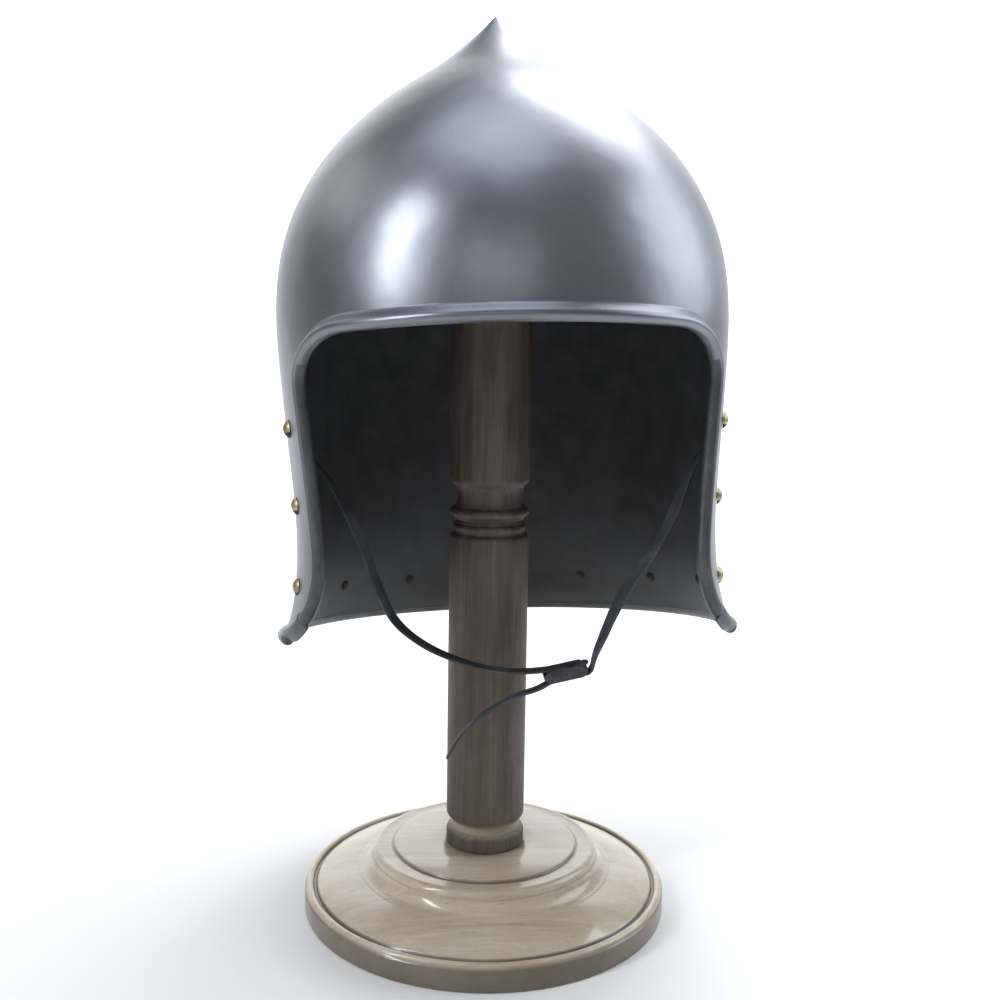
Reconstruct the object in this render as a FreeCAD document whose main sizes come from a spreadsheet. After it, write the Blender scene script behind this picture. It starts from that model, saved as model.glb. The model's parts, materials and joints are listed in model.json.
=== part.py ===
"""Open-faced knight's helmet with a chin strap, standing on a turned wooden display stand.

Millimetres, +Z up, the face towards -Y, origin at the centre of the base's underside.
The skull is one raised steel shell: a pile of ellipses lofted to an ogee point, level at the
brow and tipping more and more towards the neck, whose rim stands lowest at the back.
The wooden base and post are turned pieces on the Z axis. The rivets, the post's joint and the
strap's bars are pieces of their own.
"""
import FreeCAD, Part
import math
import os

import Sketcher
from FreeCAD import Placement, Rotation, Vector

X_AXIS = Vector(1, 0, 0)
Y_AXIS = Vector(0, 1, 0)
Z_AXIS = Vector(0, 0, 1)
ORIGIN = Vector(0, 0, 0)

# ---------------------------------------------------------------- driving dimensions

DIMENSIONS = {
    "wall": 1.6,
    "helmet_lean": -1.9,
    "lean_centre_level": 440.0,
    "opening_shift": -1.2,
    "opening_top": 303.0,
    "opening_corner": 24.0,
    "opening_half_top": 93.5,
    "opening_half_waist": 87.0,
    "opening_waist_level": 200.0,
    "opening_half_flare": 93.6,
    "opening_flare_level": 172.0,
    "opening_half_foot": 108.0,
    "opening_foot_level": 155.0,
    "opening_bottom": 120.0,
    "opening_reach": 200.0,
    "brow_arch": 2.5,
    "face_roll_radius": 3.2,
    "face_roll_proud": 1.76,
    "neck_roll_radius": 2.7,
    "neck_roll_proud": 1.35,
    "neck_roll_rise": 0.6,
    "neck_roll_start": 105.0,
    "rivet_shank": 1.6,
    "rivet_head": 4.4,
    "rivet_crown": 2.7,
    "rivet_tail": 2.8,
    "tail_thickness": 1.1,
    "rivet_clearance": 0.05,
    "rivet_seat": 0.15,
    "strap_width": 8.0,
    "strap_thickness": 1.5,
    "strap_plane": -40.0,
    "strap_pivot_level": 256.0,
    "strap_tab_gap": 3.1,
    "strap_hole_radius": 1.9,
    "washer_radius": 3.4,
    "washer_thickness": 0.8,
    "washer_play": 0.3,
    "buckle_length": 22.0,
    "buckle_width": 12.0,
    "buckle_thickness": 2.6,
    "buckle_slot_length": 6.0,
    "buckle_slot_width": 9.0,
    "buckle_bar": 4.0,
    "buckle_rail_height": 6.4,
    "buckle_tilt": 11.0,
    "base_radius": 95.0,
    "base_edge_top": 11.0,
    "base_ridge_top": 13.5,
    "base_groove_radius": 89.0,
    "base_shoulder_radius": 74.0,
    "base_shoulder_top": 20.5,
    "base_cove_radius": 60.0,
    "base_cove_level": 24.0,
    "base_bead_radius": 57.0,
    "base_bead_top": 30.5,
    "base_disc_radius": 48.0,
    "base_top": 32.0,
    "counterbore_radius": 10.0,
    "counterbore_depth": 9.0,
    "screw_hole_radius": 2.6,
    "screw_radius": 2.4,
    "screw_head_radius": 5.0,
    "screw_head_bottom": 4.0,
    "screw_washer_radius": 8.5,
    "screw_washer_bottom": 7.8,
    "screw_tip": 70.0,
    "plug_radius": 9.95,
    "plug_top": 3.8,
    "pilot_top": 73.0,
    "post_radius": 20.5,
    "foot_top": 41.0,
    "cove_radius": 17.5,
    "cove_level": 44.0,
    "lower_shaft_bottom": 49.0,
    "lower_shaft_top": 198.0,
    "seat_radius": 18.6,
    "seat_shoulder": 202.0,
    "post_joint": 205.0,
    "upper_bead_bottom": 207.5,
    "upper_bead_top": 211.0,
    "neck_radius": 17.2,
    "neck_bottom": 213.5,
    "neck_top": 221.0,
    "upper_shaft_bottom": 226.0,
    "upper_shaft_top": 430.5,
    "dome_radius": 13.0,
    "dome_shoulder": 437.8,
    "post_top": 440.8,
    "dowel_radius": 6.0,
    "dowel_hole_radius": 6.05,
    "dowel_bottom": 184.0,
    "dowel_top": 226.0,
    "dowel_socket_bottom": 183.0,
    "dowel_socket_top": 227.0,
}

# The skull's sections from the rim up to the point: the level on the Z axis, how much the
# section falls for each millimetre towards the back, its half width, half depth and centre Y.
SECTIONS = [
    (149.5, 0.145, 113.0, 131.0, 0.0),
    (156.0, 0.142, 110.8, 127.0, -1.5),
    (166.0, 0.137, 108.2, 123.4, -2.6),
    (182.0, 0.128, 105.9, 120.8, -3.6),
    (205.0, 0.112, 105.2, 119.8, -4.0),
    (240.0, 0.080, 107.2, 121.0, -4.0),
    (275.0, 0.040, 109.6, 122.6, -4.0),
    (303.0, 0.010, 110.8, 123.0, -4.0),
    (325.0, 0.0, 109.6, 121.0, -4.0),
    (345.0, 0.0, 105.4, 116.0, -3.6),
    (365.0, 0.0, 97.0, 106.4, -3.0),
    (385.0, 0.0, 83.6, 91.0, -2.2),
    (400.0, 0.0, 69.0, 74.4, -1.4),
    (412.0, 0.0, 54.0, 57.4, -0.8),
    (420.0, 0.0, 41.8, 43.8, -0.4),
    (428.0, 0.0, 29.4, 30.4, -0.1),
    (436.0, 0.0, 18.8, 19.2, 0.0),
    (444.0, 0.0, 9.4, 9.5, 0.0),
    (452.0, 0.0, 0.9, 0.9, 0.0),
]
INNER_POINT = (449.4, 0.0, 0.8, 0.8, 0.0)
BELOW_RIM = 4.0
RAY_LENGTH = 400.0
FACE_EDGE_POINTS = 48
NECK_ROLL_STEPS = 40

# Rivets: degrees round from the front, and the height up from the rim plane.
NECK_RIVET_ANGLES = [98.0, 126.0, 153.0, 180.0, 207.0, 234.0, 262.0]
NECK_RIVET_HEIGHT = 20.0
NECK_RIVET_DEPTH = 120.0
CHEEK_RIVET_ANGLE = 70.0
CHEEK_RIVET_LEVELS = {"lower": 180.0, "middle": 219.0}

# The long strap's centre line in its own plane: down from the left rivet, under the chin, over
# the slide's middle bar and back as the loose tail. Points given as (X, Z).
LONG_STRAP_BEFORE_BUCKLE = [
    (-97.8, 263.0), (-97.8, 245.5), (-88.0, 236.0), (-79.0, 219.5), (-70.5, 199.5),
    (-63.0, 176.0), (-56.5, 161.5), (-44.0, 150.5), (-30.0, 143.0), (-12.5, 136.8),
    (4.0, 134.6),
]
LONG_STRAP_AFTER_BUCKLE = [
    (13.0, 126.0), (3.0, 123.6), (-9.5, 117.5), (-21.0, 109.5), (-28.5, 101.0), (-33.0, 92.0),
]
SHORT_STRAP_ABOVE_BUCKLE = [
    (97.8, 263.0), (97.8, 245.5), (88.2, 235.5), (80.6, 213.0), (71.8, 196.5), (61.5, 182.0),
    (51.0, 165.5), (44.6, 150.5), (40.6, 142.0),
]
BUCKLE_CENTRE = (26.1, 134.2)
BAR_WRAP = 2.5
LONG_WRAP_REACH = 3.35
LONG_WRAP_LEAVE = -6.7
SHORT_WRAP_REACH = 6.6
SHORT_WRAP_ENTRY = (12.6, -2.9)
SHORT_WRAP_END = (12.2, 2.6)

# Rivet making: how far the shank starts below the head, and the drills' reach each side.
SHANK_START = 0.7
SHANK_OVERLAP = 0.1
HEAD_TRIM = 20.0
DRILL_OUTSIDE = 5.0
DRILL_LENGTH = 12.0

doc = FreeCAD.newDocument("KnightHelmet")
sheet = doc.addObject("Spreadsheet::Sheet", "Sheet")


def size(name):
    """One driving dimension, read back from the sheet."""
    return float(sheet.get(name))


def fill_sheet():
    """Write every driving dimension and every section of the skull into the sheet."""
    rows = list(DIMENSIONS.items())
    for index, section in enumerate(SECTIONS):
        rows.append((f"half_width_{index:02d}", section[2]))
        rows.append((f"half_depth_{index:02d}", section[3]))
    for row, (name, value) in enumerate(rows, start=1):
        sheet.set(f"A{row}", name)
        sheet.set(f"B{row}", str(value))
        sheet.setAlias(f"B{row}", name)
    doc.recompute()


# ---------------------------------------------------------------- helpers

ARC_SHARE = 0.45


def turned_body(label, outline, placement=None):
    """A solid of revolution about its own Z axis.

    outline is a closed run of corners, each (radius, height) as sheet names or 0.
    """
    body = doc.addObject("PartDesign::Body", label)
    plane = [item for item in body.Origin.OriginFeatures if item.Role == "XZ_Plane"][0]
    sketch = body.newObject("Sketcher::SketchObject", f"{label}_outline")
    sketch.AttachmentSupport = [(plane, "")]
    sketch.MapMode = "FlatFace"
    corners = []
    for radius, height in outline:
        corners.append(Vector(cell_value(radius), cell_value(height), 0))
    count = len(corners)
    for index in range(count):
        line = Part.LineSegment(corners[index], corners[(index + 1) % count])
        sketch.addGeometry(line, False)
    for index in range(count):
        following = (index + 1) % count
        sketch.addConstraint(Sketcher.Constraint("Coincident", index, 2, following, 1))
    for index, (radius, height) in enumerate(outline):
        pin_corner(sketch, index, "X", radius)
        pin_corner(sketch, index, "Y", height)
    turn = body.newObject("PartDesign::Revolution", f"{label}_turn")
    turn.Profile = sketch
    turn.ReferenceAxis = (sketch, ["V_Axis"])
    turn.Angle = 360.0
    if placement is not None:
        body.Placement = placement
    return body


def cell_value(name):
    """The number behind a sheet name, a (name, shift) pair or a plain number."""
    if isinstance(name, tuple):
        return size(name[0]) + name[1]
    if isinstance(name, str):
        return size(name)
    return float(name)


def pin_corner(sketch, index, direction, name):
    """Hold one corner of a sketch at a sheet size along one direction."""
    value = cell_value(name)
    if value == 0.0:
        edge_of_plane = -2 if direction == "X" else -1
        sketch.addConstraint(Sketcher.Constraint("PointOnObject", index, 1, edge_of_plane))
        return
    kind = f"Distance{direction}"
    number = sketch.addConstraint(Sketcher.Constraint(kind, -1, 1, index, 1, value))
    if isinstance(name, tuple):
        sketch.setExpression(f"Constraints[{number}]", f"Sheet.{name[0]} + {name[1]}")
    elif isinstance(name, str):
        sketch.setExpression(f"Constraints[{number}]", f"Sheet.{name}")


def rounded_path(points):
    """Straight runs joined by tangent arcs that take the same share of the shorter run."""
    edges = []
    radii = []
    here = points[0]
    for index in range(1, len(points) - 1):
        corner = points[index]
        back = points[index - 1] - corner
        ahead = points[index + 1] - corner
        half_turn = (math.pi - back.getAngle(ahead)) / 2
        reach = ARC_SHARE * min(back.Length, ahead.Length)
        radius = reach / math.tan(half_turn)
        back.normalize()
        ahead.normalize()
        enter = corner + back * reach
        leave = corner + ahead * reach
        towards = back + ahead
        towards.normalize()
        middle = corner + towards * (radius / math.cos(half_turn) - radius)
        edges.append(Part.LineSegment(here, enter).toShape())
        edges.append(Part.Arc(enter, middle, leave).toShape())
        radii.append(radius)
        here = leave
    edges.append(Part.LineSegment(here, points[-1]).toShape())
    return Part.Wire(edges), radii


def ribbon(points, width, thickness):
    """A flat strap along a path that lies in one XZ plane, its width along Y."""
    path, radii = rounded_path(points)
    start = points[0]
    along = points[1] - points[0]
    along.normalize()
    across = along.cross(Y_AXIS)
    corners = []
    for side, face in ((-1, -1), (1, -1), (1, 1), (-1, 1)):
        corners.append(start + Y_AXIS * (side * width / 2) + across * (face * thickness / 2))
    corners.append(corners[0])
    sweep = Part.BRepOffsetAPI.MakePipeShell(path)
    sweep.setBiNormalMode(Y_AXIS)
    sweep.add(Part.makePolygon(corners))
    sweep.build()
    sweep.makeSolid()
    return sweep.shape(), path.Length, radii


def stored(label, shape, placement=None):
    """Keep a shape worked out here as a sub-part of the document."""
    item = doc.addObject("Part::Feature", label)
    item.Shape = shape
    if placement is not None:
        item.Placement = placement
    return item


def lean_on_post(part):
    """Tip a piece of the helmet a little to one side about the post's top, where it rests."""
    centre = Vector(0, 0, size("lean_centre_level"))
    lean = Placement(ORIGIN, Rotation(Y_AXIS, size("helmet_lean")), centre)
    part.Placement = lean * part.Placement


# ---------------------------------------------------------------- the skull

def section_ellipse(name, section, width_rule, depth_rule):
    """One section of the skull as a tilted ellipse, its long half axis from front to back."""
    level, fall, half_width, half_depth, centre = section
    ellipse = doc.addObject("Part::Ellipse", name)
    tilt = Rotation(X_AXIS, -math.degrees(math.atan(fall)))
    quarter = Rotation(Z_AXIS, 90)
    ellipse.Placement = Placement(Vector(0, centre, level - fall * centre), tilt * quarter)
    stretch = math.hypot(1.0, fall)
    ellipse.setExpression("MajorRadius", f"({depth_rule}) * {stretch:.6f}")
    ellipse.setExpression("MinorRadius", width_rule)
    return ellipse


def wall_direction(index):
    """The outward normal of the side outline at one section: (outwards, upwards)."""
    below = SECTIONS[max(index - 1, 0)]
    above = SECTIONS[min(index + 1, len(SECTIONS) - 1)]
    rise = above[0] - below[0]
    spread = above[2] - below[2]
    length = math.hypot(rise, spread)
    return rise / length, -spread / length


def outer_sections():
    """The outer surface's sections, bound to the sheet."""
    ellipses = []
    for index, section in enumerate(SECTIONS):
        width_rule = f"Sheet.half_width_{index:02d}"
        depth_rule = f"Sheet.half_depth_{index:02d}"
        ellipses.append(section_ellipse(f"outer_{index:02d}", section, width_rule, depth_rule))
    return ellipses


def inner_sections():
    """The inner surface's sections: the outer ones moved in by the wall along the normal."""
    wall = size("wall")
    ellipses = []
    for index, section in enumerate(SECTIONS[:-1]):
        outwards, upwards = wall_direction(index)
        level, fall, half_width, half_depth, centre = section
        moved = (level - wall * upwards, fall, half_width, half_depth, centre)
        width_rule = f"Sheet.half_width_{index:02d} - Sheet.wall * {outwards:.5f}"
        depth_rule = f"Sheet.half_depth_{index:02d} - Sheet.wall * {outwards:.5f}"
        if index == 0:
            flare = (SECTIONS[0][2] - SECTIONS[1][2]) / (SECTIONS[1][0] - SECTIONS[0][0])
            grow = flare * BELOW_RIM
            lowest = (moved[0] - BELOW_RIM, fall, half_width, half_depth, centre)
            width_low = f"{width_rule} + {grow:.3f}"
            depth_low = f"{depth_rule} + {grow:.3f}"
            ellipses.append(section_ellipse("inner_below_rim", lowest, width_low, depth_low))
            continue
        ellipses.append(section_ellipse(f"inner_{index:02d}", moved, width_rule, depth_rule))
    point_size = str(INNER_POINT[2])
    ellipses.append(section_ellipse("inner_point", INNER_POINT, point_size, point_size))
    return ellipses


def lofted(name, sections):
    """A closed solid through a pile of sections."""
    loft = doc.addObject("Part::Loft", name)
    loft.Sections = sections
    loft.Solid = True
    loft.Ruled = False
    return loft


def opening_outline():
    """The face opening seen from the front: an arched brow with round corners, straight sides
    and, below the waist, arcs that flare out to the rim. It is open below."""
    top = size("opening_top")
    corner = size("opening_corner")
    half_top = size("opening_half_top")
    half_foot = size("opening_half_foot")
    shift = size("opening_shift")
    slope = math.sqrt(0.5)
    places = {
        "bottom": (half_foot, size("opening_bottom")),
        "foot": (half_foot, size("opening_foot_level")),
        "flare": (size("opening_half_flare"), size("opening_flare_level")),
        "waist": (size("opening_half_waist"), size("opening_waist_level")),
        "side": (half_top, top - corner),
        "round": (half_top - corner + corner * slope, top - corner + corner * slope),
        "brow": (half_top - corner, top),
    }
    right = {name: Vector(shift + place[0], 0, place[1]) for name, place in places.items()}
    left = {name: Vector(shift - place[0], 0, place[1]) for name, place in places.items()}
    middle = Vector(shift, 0, top + size("brow_arch"))
    edges = [
        Part.LineSegment(left["bottom"], left["foot"]).toShape(),
        Part.Arc(left["foot"], left["flare"], left["waist"]).toShape(),
        Part.LineSegment(left["waist"], left["side"]).toShape(),
        Part.Arc(left["side"], left["round"], left["brow"]).toShape(),
        Part.Arc(left["brow"], middle, right["brow"]).toShape(),
        Part.Arc(right["brow"], right["round"], right["side"]).toShape(),
        Part.LineSegment(right["side"], right["waist"]).toShape(),
        Part.Arc(right["waist"], right["flare"], right["foot"]).toShape(),
        Part.LineSegment(right["foot"], right["bottom"]).toShape(),
        Part.LineSegment(right["bottom"], left["bottom"]).toShape(),
    ]
    return Part.Wire(edges)


def surface_hit(solid, start, direction):
    """Where a ray from inside the solid leaves it, and the outward normal there."""
    ray = Part.LineSegment(start, start + direction * RAY_LENGTH).toShape()
    inside = ray.common(solid)
    leave = max((vertex.Point for vertex in inside.Vertexes), key=lambda p: (p - start).Length)
    spot = Part.Vertex(leave)
    face = min(solid.Faces, key=lambda item: item.distToShape(spot)[0])
    across, along = face.Surface.parameter(leave)
    normal = face.normalAt(across, along)
    if normal.dot(direction) < 0:
        normal = normal * -1
    return leave, normal


def rim_level(depth):
    """The rim plane's height at a given Y."""
    level, fall = SECTIONS[0][:2]
    return level - fall * depth


def face_edge_points(solid):
    """The opening's edge on the outer surface, from the left foot over the brow to the right."""
    flat = Part.Wire(opening_outline().Edges[1:8]).discretize(Number=FACE_EDGE_POINTS)
    left_first = flat if flat[0].x < 0 else flat[::-1]
    points = []
    for place in left_first:
        hit, normal = surface_hit(solid, Vector(place.x, 0, place.z), Y_AXIS * -1)
        if hit.z > rim_level(hit.y):
            points.append((hit, normal))
    return points


def round_bar(points, outwards, radius):
    """A round bar through points: straight-sided spans between circles square to the path.

    outwards holds one direction for each point, where that circle's seam is put, so that the
    spans don't twist.
    """
    rings = []
    last = len(points) - 1
    for index, place in enumerate(points):
        along = points[min(index + 1, last)] - points[max(index - 1, 0)]
        ring = Part.Wire([Part.makeCircle(radius)])
        ring.Placement = Placement(place, Rotation(outwards[index], ORIGIN, along, "ZXY"))
        rings.append(ring)
    return Part.makeLoft(rings, True, True)


def build_skull():
    """The skull's outer solid, and the hollow shell with its face opening cut."""
    outer = lofted("skull_outside", outer_sections())
    inner = lofted("skull_inside", inner_sections())
    doc.recompute()
    opening = doc.addObject("Part::Extrusion", "face_opening")
    opening.Base = stored("opening_outline", Part.Face(opening_outline()))
    opening.DirMode = "Custom"
    opening.Dir = Y_AXIS * -1
    opening.setExpression("LengthFwd", "Sheet.opening_reach")
    opening.Solid = True
    hollow = doc.addObject("Part::Cut", "hollow_skull")
    hollow.Base = outer
    hollow.Tool = inner
    open_shell = doc.addObject("Part::Cut", "open_skull")
    open_shell.Base = hollow
    open_shell.Tool = opening
    doc.recompute()
    return outer, open_shell


def rivet_outline():
    """Half of a rivet from its domed head down to the peened tail, on its own axis."""
    wall = size("wall")
    crown = size("rivet_crown")
    head = size("rivet_head")
    shank = size("rivet_shank")
    tail = size("rivet_tail")
    seat = size("rivet_seat")
    tail_top = -wall - 3 * seat
    tail_bottom = tail_top - size("tail_thickness")
    ball = (head ** 2 + crown ** 2) / (2 * crown)
    lean = math.asin(head / ball) / 2
    rounding = Vector(ball * math.sin(lean), 0, crown - ball * (1 - math.cos(lean)))
    edges = [
        Part.Arc(Vector(0, 0, crown), rounding, Vector(head, 0, seat)).toShape(),
        Part.LineSegment(Vector(head, 0, seat), Vector(shank, 0, seat)).toShape(),
        Part.LineSegment(Vector(shank, 0, seat), Vector(shank, 0, tail_top)).toShape(),
        Part.LineSegment(Vector(shank, 0, tail_top), Vector(tail, 0, tail_top)).toShape(),
        Part.LineSegment(Vector(tail, 0, tail_top), Vector(0, 0, tail_bottom)).toShape(),
        Part.LineSegment(Vector(0, 0, tail_bottom), Vector(0, 0, crown)).toShape(),
    ]
    return Part.Face(Part.Wire(edges))


def rivet_spots(solid):
    """Every plain rivet's name, place on the outer surface and outward normal."""
    spots = []
    for number, angle in enumerate(NECK_RIVET_ANGLES, start=1):
        turn = math.radians(angle)
        heading = Vector(math.sin(turn), -math.cos(turn), 0)
        depth = -math.cos(turn) * NECK_RIVET_DEPTH
        level = rim_level(depth) + NECK_RIVET_HEIGHT
        spots.append((f"neck_rivet_{number}", *surface_hit(solid, Vector(0, 0, level), heading)))
    for side, sign in (("right", 1), ("left", -1)):
        for place, level in CHEEK_RIVET_LEVELS.items():
            turn = math.radians(CHEEK_RIVET_ANGLE)
            heading = Vector(sign * math.sin(turn), -math.cos(turn), 0)
            hit, normal = surface_hit(solid, Vector(0, 0, level), heading)
            spots.append((f"cheek_rivet_{side}_{place}", hit, normal))
    return spots


def oriented(place, direction):
    """A placement whose own Z axis points along a direction."""
    return Placement(place, Rotation(Z_AXIS, direction))


def build_rivets(spots):
    """The plain rivets: one turned outline, put at each spot along the surface normal."""
    turned = rivet_outline().revolve(ORIGIN, Z_AXIS, 360)
    return [stored(name, turned, oriented(place, normal)) for name, place, normal in spots]


def build_strap_rivet(side, sign, place, normal):
    """The rivet that a strap end turns on: its shank lies along X, its dome on the steel."""
    head = rivet_outline().revolve(ORIGIN, Z_AXIS, 360)
    corner = Vector(-HEAD_TRIM / 2, -HEAD_TRIM / 2, size("rivet_seat") - HEAD_TRIM)
    below = Part.makeBox(HEAD_TRIM, HEAD_TRIM, HEAD_TRIM, corner)
    head = head.cut(below)
    head.Placement = oriented(place, normal)
    shank = size("rivet_shank")
    tab = size("strap_tab_gap") + size("strap_thickness")
    skin = size("wall") / abs(normal.x)
    washer_face = skin + tab + size("washer_play") + size("washer_thickness")
    inwards = X_AXIS * -sign
    shaft_length = SHANK_START + washer_face + SHANK_OVERLAP
    shaft = Part.makeCylinder(shank, shaft_length, place - inwards * SHANK_START, inwards)
    tail_start = place + inwards * (washer_face + size("rivet_clearance"))
    tail = Part.makeCone(size("rivet_tail"), shank, size("tail_thickness"), tail_start, inwards)
    return stored(f"strap_rivet_{side}", head.fuse([shaft, tail]).removeSplitter())


def build_strap_washer(side, sign, place, normal):
    """The washer between a strap end and its rivet's tail."""
    skin = size("wall") / abs(normal.x)
    start = skin + size("strap_tab_gap") + size("strap_thickness") + size("washer_play")
    inwards = X_AXIS * -sign
    begin = place + inwards * start
    hole = size("rivet_shank") + size("rivet_clearance")
    ring = Part.makeCylinder(size("washer_radius"), size("washer_thickness"), begin, inwards)
    ring = ring.cut(Part.makeCylinder(hole, size("washer_thickness"), begin, inwards))
    return stored(f"strap_washer_{side}", ring)


def pierced(open_shell, spots, strap_spots):
    """The skull with a hole for every rivet."""
    hole_radius = size("rivet_shank") + size("rivet_clearance")
    drills = []
    ways = [(place, normal * -1) for _, place, normal in spots]
    ways += [(place, X_AXIS * -sign) for sign, place, _ in strap_spots]
    for place, inwards in ways:
        begin = place - inwards * DRILL_OUTSIDE
        drills.append(Part.makeCylinder(hole_radius, DRILL_LENGTH, begin, inwards))
    drill = stored("rivet_holes", Part.makeCompound(drills))
    skull = doc.addObject("Part::Cut", "skull")
    skull.Base = open_shell
    skull.Tool = drill
    doc.recompute()
    return skull


def build_face_roll(edge_points):
    """The rolled bar round the face opening, with the skull's edge held inside it."""
    proud = size("face_roll_proud")
    line = [place + normal * proud for place, normal in edge_points]
    normals = [normal for _, normal in edge_points]
    return stored("face_edge_roll", round_bar(line, normals, size("face_roll_radius")))


def build_neck_roll():
    """The rolled bar round the rim, from one front corner round the back to the other."""
    level, fall, half_width, half_depth, centre = SECTIONS[0]
    proud = size("neck_roll_proud")
    start = size("neck_roll_start")
    first = math.asin((start + size("opening_shift")) / half_width)
    last = 2 * math.pi - math.asin((start - size("opening_shift")) / half_width)
    points = []
    outwards = []
    for step in range(NECK_ROLL_STEPS + 1):
        turn = first + (last - first) * step / NECK_ROLL_STEPS
        outwards.append(Vector(math.sin(turn), -math.cos(turn), 0))
        across = (half_width + proud) * math.sin(turn)
        depth = centre - (half_depth + proud) * math.cos(turn)
        points.append(Vector(across, depth, level - fall * depth + size("neck_roll_rise")))
    return stored("neck_edge_roll", round_bar(points, outwards, size("neck_roll_radius")))


# ---------------------------------------------------------------- the chin strap

def flat_points(pairs):
    """(X, Z) pairs as points in the strap's plane."""
    return [Vector(across, size("strap_plane"), level) for across, level in pairs]


def on_buckle(along, away):
    """A point in the strap's plane, given along the buckle and away from its face."""
    turn = math.radians(size("buckle_tilt"))
    middle_x, middle_z = BUCKLE_CENTRE
    across = middle_x + along * math.cos(turn) - away * math.sin(turn)
    level = middle_z + along * math.sin(turn) + away * math.cos(turn)
    return Vector(across, size("strap_plane"), level)


def build_long_strap(pivot_hole):
    """The long strap: left rivet, under the chin, round the slide's middle bar and its tail."""
    wrap = [
        on_buckle(-LONG_WRAP_REACH, BAR_WRAP), on_buckle(LONG_WRAP_REACH, BAR_WRAP),
        on_buckle(LONG_WRAP_REACH, -BAR_WRAP), on_buckle(LONG_WRAP_LEAVE, -BAR_WRAP),
    ]
    before = flat_points(LONG_STRAP_BEFORE_BUCKLE)
    after = flat_points(LONG_STRAP_AFTER_BUCKLE)
    route = before + wrap + after
    strap, length, radii = ribbon(route, size("strap_width"), size("strap_thickness"))
    print("long strap length", round(length, 1), "radii", [round(r, 1) for r in radii])
    return stored("long_strap", strap.cut(pivot_hole))


def build_short_strap(pivot_hole):
    """The short strap: right rivet, under the slide's end bar, up its slot and over the bar."""
    wrap = [
        on_buckle(*SHORT_WRAP_ENTRY), on_buckle(SHORT_WRAP_REACH, -BAR_WRAP),
        on_buckle(SHORT_WRAP_REACH, BAR_WRAP), on_buckle(*SHORT_WRAP_END),
    ]
    above = flat_points(SHORT_STRAP_ABOVE_BUCKLE)
    strap, length, radii = ribbon(above + wrap, size("strap_width"), size("strap_thickness"))
    print("short strap length", round(length, 1), "radii", [round(r, 1) for r in radii])
    return stored("short_strap", strap.cut(pivot_hole))


def slide_box(name, length, width, height, corner):
    """A box of the slide's own frame, its sizes and its corner given as rules on the sheet."""
    box = doc.addObject("Part::Box", name)
    for side, rule in zip(("Length", "Width", "Height"), (length, width, height)):
        box.setExpression(side, rule)
    for axis, rule in zip("xyz", corner):
        box.setExpression(f"Placement.Base.{axis}", rule)
    return box


def build_slide():
    """The three-bar slide that joins the two straps: a slotted plate between two side rails."""
    length, width, height = "Sheet.buckle_length", "Sheet.buckle_width", "Sheet.buckle_thickness"
    slot_length, slot_width = "Sheet.buckle_slot_length", "Sheet.buckle_slot_width"
    rail_width = f"({width} - {slot_width}) / 2"
    rail_foot = f"({height} - Sheet.buckle_rail_height) / 2"
    blank = slide_box("slide_plate", length, width, height, ("0", "0", "0"))
    rails = []
    for name, side in (("slide_rail_front", "0"), ("slide_rail_back", f"{width} - {rail_width}")):
        corner = ("0", side, rail_foot)
        rails.append(slide_box(name, length, rail_width, "Sheet.buckle_rail_height", corner))
    slots = []
    left = f"{length} / 2 - Sheet.buckle_bar / 2 - {slot_length}"
    right = f"{length} / 2 + Sheet.buckle_bar / 2"
    for name, start in (("slide_slot_left", left), ("slide_slot_right", right)):
        corner = (start, rail_width, "-1")
        slots.append(slide_box(name, slot_length, slot_width, f"{height} + 2", corner))
    body = doc.addObject("Part::MultiFuse", "slide_body")
    body.Shapes = [blank] + rails
    both = doc.addObject("Part::MultiFuse", "slide_slots")
    both.Shapes = slots
    slide = doc.addObject("Part::Cut", "strap_slide")
    slide.Base = body
    slide.Tool = both
    turn = Rotation(Y_AXIS, -size("buckle_tilt"))
    centre = Vector(BUCKLE_CENTRE[0], size("strap_plane"), BUCKLE_CENTRE[1])
    half = Vector(size("buckle_length"), size("buckle_width"), size("buckle_thickness")) * 0.5
    slide.Placement = Placement(centre - turn.multVec(half), turn)
    return slide


# ---------------------------------------------------------------- the stand

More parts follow.
